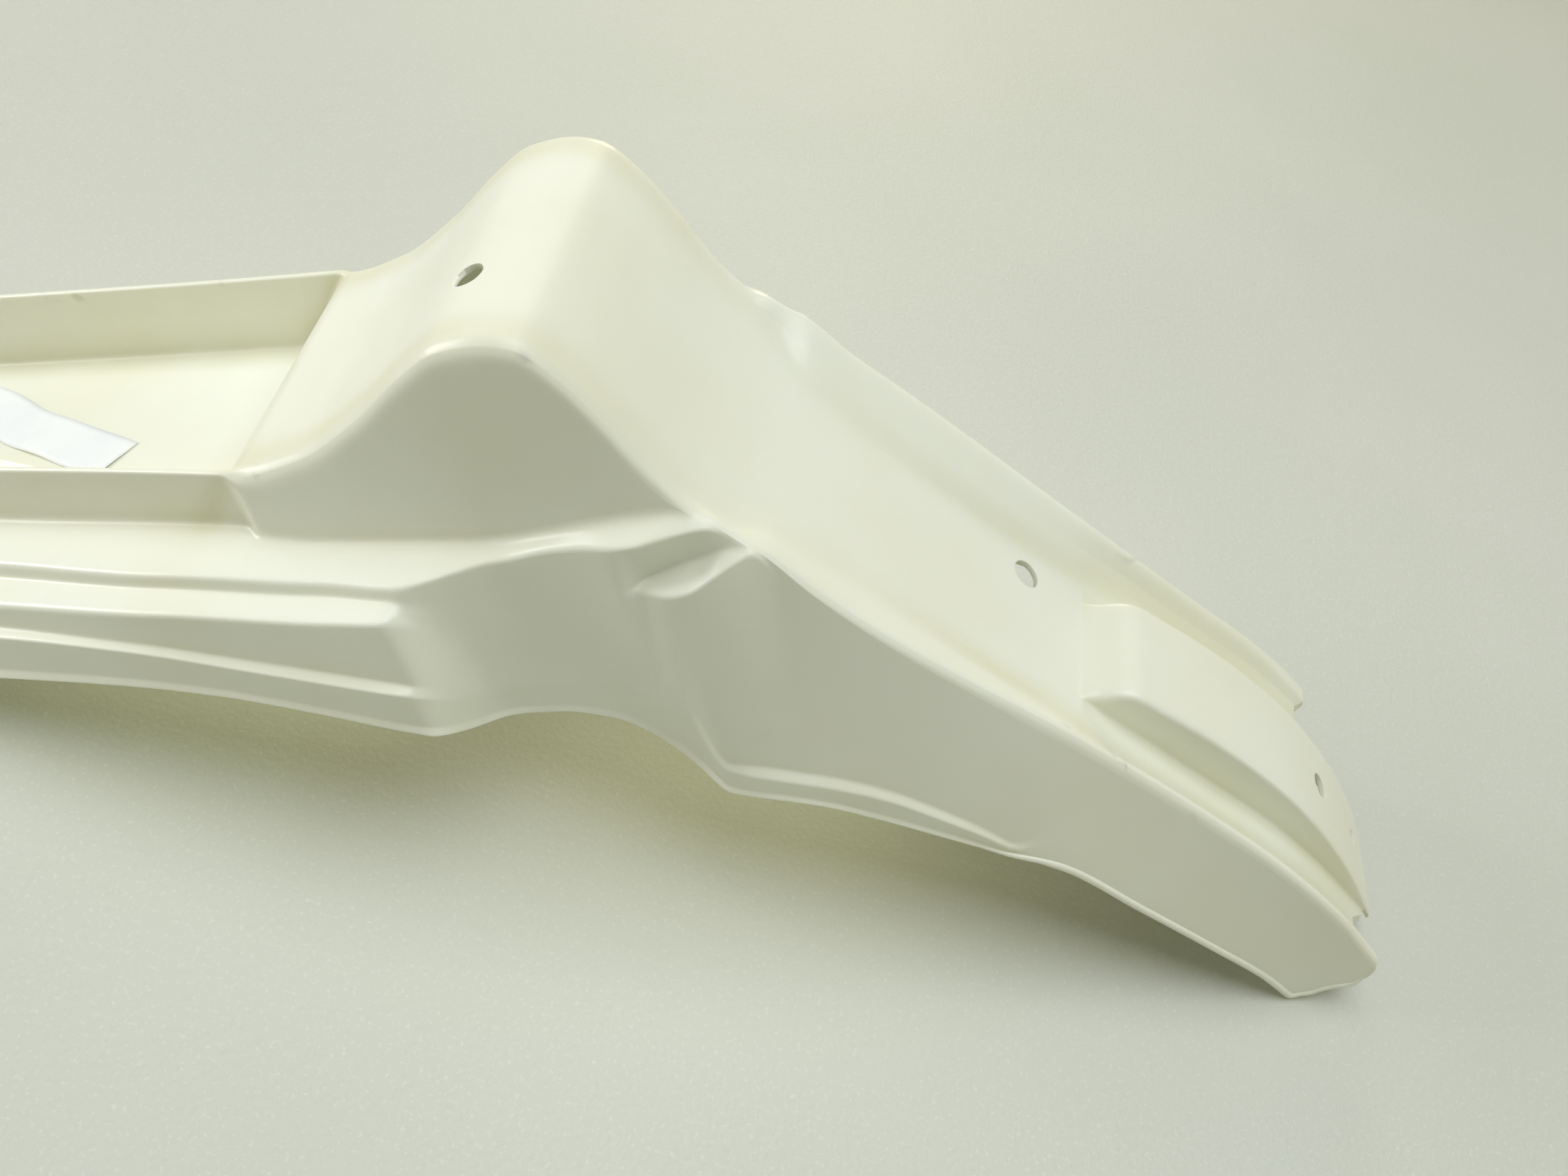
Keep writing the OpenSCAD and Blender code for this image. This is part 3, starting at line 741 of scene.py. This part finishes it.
class Signal:
    """A number that varies over the surface, as the output socket of a node."""

    def __init__(self, paint, socket):
        self.paint, self.socket = paint, socket

    def maths(self, operation, a, b):
        return self.paint.signal("ShaderNodeMath", 0, {"operation": operation}, {0: a, 1: b})

    def __add__(self, other):
        return self.maths("ADD", self, other)

    def __radd__(self, other):
        return self.maths("ADD", other, self)

    def __sub__(self, other):
        return self.maths("SUBTRACT", self, other)

    def __rsub__(self, other):
        return self.maths("SUBTRACT", other, self)

    def __mul__(self, other):
        return self.maths("MULTIPLY", self, other)

    def __rmul__(self, other):
        return self.maths("MULTIPLY", other, self)

    def ramp(self, low, high):
        """0 below low, 1 above high, and a smooth step between."""
        return self.paint.signal("ShaderNodeMapRange", 0, {"interpolation_type": "SMOOTHSTEP"},
                                 {"Value": self, "From Min": low, "From Max": high})


class Paint:
    """A material and its nodes."""

    def __init__(self, name):
        self.material = bpy.data.materials.new(name)
        self.material.use_nodes = True
        self.tree = self.material.node_tree
        self.tree.nodes.clear()

    def node(self, kind, settings=None, inputs=None):
        """A node of this kind. Its settings are set first, then its sockets, by name or number."""
        node = self.tree.nodes.new(kind)
        for key, value in (settings or {}).items():
            setattr(node, key, value)
        for key, value in (inputs or {}).items():
            socket = node.inputs[key]
            if isinstance(value, Signal):
                self.tree.links.new(value.socket, socket)
            else:
                socket.default_value = value
        return node

    def signal(self, kind, output, settings=None, inputs=None):
        """One output of such a node."""
        return Signal(self, self.node(kind, settings, inputs).outputs[output])

    def where(self):
        """Object coordinates, in metres."""
        return self.signal("ShaderNodeTexCoord", "Object")

    def noise(self, scale, detail=2.0, stretch=(1.0, 1.0, 1.0), turned=(0.0, 0.0, 0.0)):
        """Noise of about 1 / scale metres, stretched along an axis where that is above 1."""
        at = self.signal("ShaderNodeMapping", 0, None, {
            "Vector": self.where(), "Rotation": turned, "Scale": tuple(1.0 / s for s in stretch)})
        return self.signal("ShaderNodeTexNoise", "Fac", None, {
            "Vector": at, "Scale": scale, "Detail": detail})

    def blend(self, share, a, b):
        """Colour a where share is 0 and b where it is 1."""
        mixer = self.node("ShaderNodeMix", {"data_type": "RGBA"}, {"Factor": share})
        for socket, value in ((mixer.inputs[6], a), (mixer.inputs[7], b)):
            if isinstance(value, Signal):
                self.tree.links.new(value.socket, socket)
            else:
                socket.default_value = (*value, 1.0)
        return Signal(self, mixer.outputs[2])

    def bumps(self, height, strength, distance):
        """Small bumps for a shader's Normal: distance in metres at a height of 1."""
        return self.signal("ShaderNodeBump", 0, None, {
            "Height": height, "Strength": strength, "Distance": distance})

    def surface(self, **inputs):
        """Ends the material in one Principled shader with these sockets."""
        shader = self.node("ShaderNodeBsdfPrincipled", None, {
            key.replace("_", " "): value for key, value in inputs.items()})
        self.node("ShaderNodeOutputMaterial", None, {"Surface": Signal(self, shader.outputs[0])})
        return self.material


print("shader maths ready")

# %% [markdown]
# ## Glossy ivory plastic
#
# The real moulding is a warm white, glossy, and a little translucent. It has been handled: the tops
# of the walls carry grey rub marks, and there are hair-fine scratches. The folds are painted a darker
# yellow, which stands partly for a yellowish film of dirt and partly for painted shade in the folds.
# That colour follows the folds, so its strength is worked out with numpy for every point and stored
# in the mesh; the rest are noises in Object coordinates.

# %% Painted shade and film in the folds, as a point attribute


def own_axes(p):
    """The fender's own axes, in millimetres, of points in the rest pose: the turn undone."""
    x, y, z = (p * 1000.0).T
    x, z = x + MIDDLE, z + BASE
    c, s = math.cos(REST_TILT), math.sin(REST_TILT)
    return x * c + z * s, np.abs(y), -x * s + z * c


def closeness(x, y, z, corner_index, radius):
    """exp(-(distance to that corner's line in the section)^2 / radius^2)."""
    cy = np.interp(x, fine, upper[:, corner_index, 0])
    cz = np.interp(x, fine, upper[:, corner_index, 1])
    return np.exp(-((y - cy) ** 2 + (z - cz) ** 2) / radius ** 2)


co = np.zeros(len(fender.data.vertices) * 3, np.float32)
fender.data.vertices.foreach_get("co", co)
fx, fy, fz = own_axes(co.reshape(-1, 3).astype(float))
# Painted shade: the floor's folds and the ledges' inner corners are darkened towards a yellow colour, partly
# a film of dirt and partly the shade that falls in them.
fold_film_and_shade = 0.9 * closeness(fx, fy, fz, 3, 7.0) + 0.6 * closeness(fx, fy, fz, 2, 5.0) * (fx > RAMP)
for corner_index, full, strength, radius in (
        (6, full_1, 0.5, 4.0), (8, full_2, 0.25, 2.5), (10, full_3, 0.25, 3.0)):
    fold_film_and_shade += strength * np.interp(fx, fine, full) * closeness(fx, fy, fz, corner_index, radius)
fold_film_and_shade *= 1 - 0.8 * np.exp(-((fx - 345) / 45) ** 2)
rub = closeness(fx, fy, fz, 4, 3.0) * ((fx < 200) | (fx > 345)) + closeness(fx, fy, fz, 5, 3.0)
for name, values in (("fold_film_and_shade", fold_film_and_shade), ("rub", rub)):
    layer = fender.data.attributes.new(name, "FLOAT", "POINT")
    layer.data.foreach_set("value", np.clip(values, 0, 1).astype(np.float32))
print("fold_film_and_shade", round(float(fold_film_and_shade.mean()), 3), "rub", round(float(rub.mean()), 3))

# %% The plastic
IVORY = (0.86, 0.875, 0.77)
WARM = (0.83, 0.83, 0.69)
# Darker yellow painted into the folds: partly a film of dirt, partly painted shade.
FILM_AND_SHADE = (0.66, 0.64, 0.42)
GREY = (0.30, 0.28, 0.24)


def plastic():
    """Warm white with slow tone changes, a yellowish film and painted shade in the folds, rub marks and fine
    scratches.
    """
    p = Paint("glossy ivory plastic")
    slow = p.noise(11.0, 3.0)
    fine_grain = p.noise(260.0, 3.0)
    scratch = p.noise(130.0, 4.0, (14.0, 1.0, 1.0), (0.0, 0.4, 0.35)).ramp(0.66, 0.74)
    film_and_shade_share = p.signal("ShaderNodeAttribute", "Fac", {"attribute_name": "fold_film_and_shade"})
    rub_share = p.signal("ShaderNodeAttribute", "Fac", {"attribute_name": "rub"})
    # The folds' painted shade and dirt film, from the stored attribute.
    dirt_and_shade = film_and_shade_share * (0.25 + 0.5 * p.noise(30.0, 4.0))
    marks = rub_share * p.noise(70.0, 5.0).ramp(0.62, 0.74)
    tone = p.blend(slow.ramp(0.35, 0.7), IVORY, WARM)
    tone = p.blend(dirt_and_shade, tone, FILM_AND_SHADE)
    tone = p.blend(0.45 * marks, tone, GREY)
    height = 0.6 * p.noise(900.0, 1.0) + 0.4 * scratch
    roughness = 0.27 + 0.08 * fine_grain + 0.12 * dirt_and_shade + 0.15 * marks + 0.1 * scratch
    return p.surface(Base_Color=tone, Roughness=roughness, Normal=p.bumps(height, 0.05, 0.0004),
                     IOR=1.5, Subsurface_Weight=0.12, Subsurface_Radius=(1.0, 0.85, 0.5),
                     Subsurface_Scale=0.004)


ivory_plastic = plastic()
for piece in [fender, *rolls]:
    piece.data.materials.clear()
    piece.data.materials.append(ivory_plastic)
print("plastic done")

# %% [markdown]
# ## A paper slip in the tray
#
# A loose blank slip lies in the tray, a little wavy and turned against the tray's length. It is a
# grid along its length and across its width, and Solidify gives it the thickness of paper.

# %% Paper slip
SLIP_FROM, SLIP_TO, SLIP_WIDE, PAPER = (17.0, 30.5), (112.5, -13.0), 19.5, 0.2


def slip_surface(along=61, across=9):
    """Points a + s (b - a) + w n, with s along the slip, w across it and z a sum of two sines."""
    a, b = np.array(SLIP_FROM), np.array(SLIP_TO)
    direction = (b - a) / np.linalg.norm(b - a)
    normal = np.array([-direction[1], direction[0]])
    s, w = np.meshgrid(np.linspace(0, 1, along), np.linspace(-0.5, 0.5, across), indexing="ij")
    bend = 0.9 * np.sin(2.6 * np.pi * s) + 0.3 * np.sin(6.1 * np.pi * s + 1.0)
    xy = a + s[..., None] * (b - a) + (w * SLIP_WIDE + bend)[..., None] * normal
    z = 0.5 + 0.2 * np.sin(7.0 * np.pi * s + 2.0 * w) + 0.1 * np.sin(15.0 * s + 5.0 * w)
    i, j = np.meshgrid(np.arange(along - 1), np.arange(across - 1), indexing="ij")
    k = i * across + j
    quads = np.stack([k, k + across, k + across + 1, k + 1], -1).reshape(-1, 4)
    return rest(np.concatenate([xy, z[..., None]], -1).reshape(-1, 3)), quads


def paper():
    """Cool white paper with faint creases."""
    p = Paint("plain paper")
    tone = p.blend(p.noise(60.0, 3.0).ramp(0.35, 0.7), (0.86, 0.88, 0.88), (0.82, 0.85, 0.87))
    return p.surface(Base_Color=tone, Roughness=0.6, Normal=p.bumps(p.noise(90.0), 0.15, 0.0004))


slip = put_mesh("paper_slip", *slip_surface())
thick = slip.modifiers.new("thickness", "SOLIDIFY")
thick.thickness, thick.offset = PAPER / 1000.0, 1.0
slip.data.materials.append(paper())
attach(slip, "root")
print("slip from", SLIP_FROM, "to", SLIP_TO, "mm")

# %% [markdown]
# ## Floor and light
#
# The floor is plain and pale. The light is soft: one large panel hangs high and a little behind the
# fender, so that the faces that look up are bright and the near skins are in half shade, and an even
# sky fills the shadows. Thin ivory plastic lets some warm light through to the floor beneath it; two
# faint lamps under the fender stand for that light. The camera, and what the gloss mirrors, see a pale
# backdrop behind the floor.

# %% Floor
FLOOR_HALF = 4.0  # metres from the middle to each side


def stage_floor():
    """A wide level sheet under the object, at the height of its feet."""
    corners = FLOOR_HALF * np.array([[-1.0, -1.0, 0.0], [1.0, -1.0, 0.0], [1.0, 1.0, 0.0], [-1.0, 1.0, 0.0]])
    floor = put_mesh("floor", corners, np.array([[0, 1, 2, 3]]), smooth=False)
    p = Paint("pale sheet")
    tone = p.blend(p.noise(5.0, 2.0).ramp(0.3, 0.7), (0.60, 0.625, 0.56), (0.62, 0.64, 0.58))
    tone = p.blend(0.5 * p.noise(600.0, 2.0).ramp(0.58, 0.7), tone, (0.72, 0.74, 0.68))
    bumps = p.bumps(p.noise(420.0), 0.25, 0.001)
    floor.data.materials.append(p.surface(Base_Color=tone, Roughness=0.6, Normal=bumps))


stage_floor()
print("floor", 2 * FLOOR_HALF, "m wide")

# %% Light


def panel(name, place, size, power, colour, aim=(0.05, 0.0, 0.08)):
    """A lamp of the given (width, height) at place that looks at aim and isn't seen itself."""
    data = bpy.data.lights.new(name, "AREA")
    data.shape, data.size, data.size_y, data.energy, data.color = "RECTANGLE", *size, power, colour
    lamp = bpy.data.objects.new(name, data)
    back = unit(np.asarray(place, float) - np.array(aim))
    side = unit(np.cross([0.0, 0.0, 1.0], back))
    matrix = np.eye(4)
    matrix[:3, 0], matrix[:3, 1], matrix[:3, 2], matrix[:3, 3] = side, np.cross(back, side), back, place
    lamp.matrix_world = Matrix(matrix.tolist())
    lamp.visible_camera = False
    bpy.context.scene.collection.objects.link(lamp)
    return lamp


panel("high panel", (0.15, 0.0, 2.0), (1.7, 1.7), 30.5, (0.91, 0.95, 1.0))
panel("left panel", (-2.6, 0.0, 0.9), (1.0, 1.0), 32.5, (1.0, 0.98, 1.0))
panel("back panel", (0.0, 2.6, 0.9), (1.0, 1.0), 16.0, (1.0, 0.84, 0.58))
panel("right panel", (2.6, 0.0, 0.9), (1.0, 1.0), 4.0, (1.0, 1.0, 0.8))
for name, x, z in (("front glow", -0.16, 0.045), ("rear glow", 0.04, 0.06)):
    panel(name, (x, -0.01, z), (0.16, 0.05), 0.025, (1.0, 0.97, 0.62), (x, -0.16, -0.05))

# %% Sky and backdrop
world = bpy.data.worlds.new("sky")
world.use_nodes = True
tree = world.node_tree
sky = tree.nodes["Background"]
sky.inputs["Color"].default_value = (1.0, 0.96, 0.64, 1.0)
sky.inputs["Strength"].default_value = 0.2
backdrop = tree.nodes.new("ShaderNodeBackground")
backdrop.inputs["Color"].default_value = (0.60, 0.62, 0.55, 1.0)
ray, seen = tree.nodes.new("ShaderNodeLightPath"), tree.nodes.new("ShaderNodeMixShader")
direct = ray.outputs["Is Camera Ray"]
for kind in ("Is Glossy Ray", "Is Transmission Ray"):
    either = tree.nodes.new("ShaderNodeMath")
    either.operation, either.use_clamp = "ADD", True
    tree.links.new(direct, either.inputs[0])
    tree.links.new(ray.outputs[kind], either.inputs[1])
    direct = either.outputs["Value"]
tree.links.new(direct, seen.inputs["Fac"])
tree.links.new(sky.outputs["Background"], seen.inputs[1])
tree.links.new(backdrop.outputs["Background"], seen.inputs[2])
tree.links.new(seen.outputs["Shader"], tree.nodes["World Output"].inputs["Surface"])
bpy.context.scene.world = world
bpy.context.scene.view_settings.view_transform = "Standard"
print("sky of strength", round(sky.inputs["Strength"].default_value, 2))
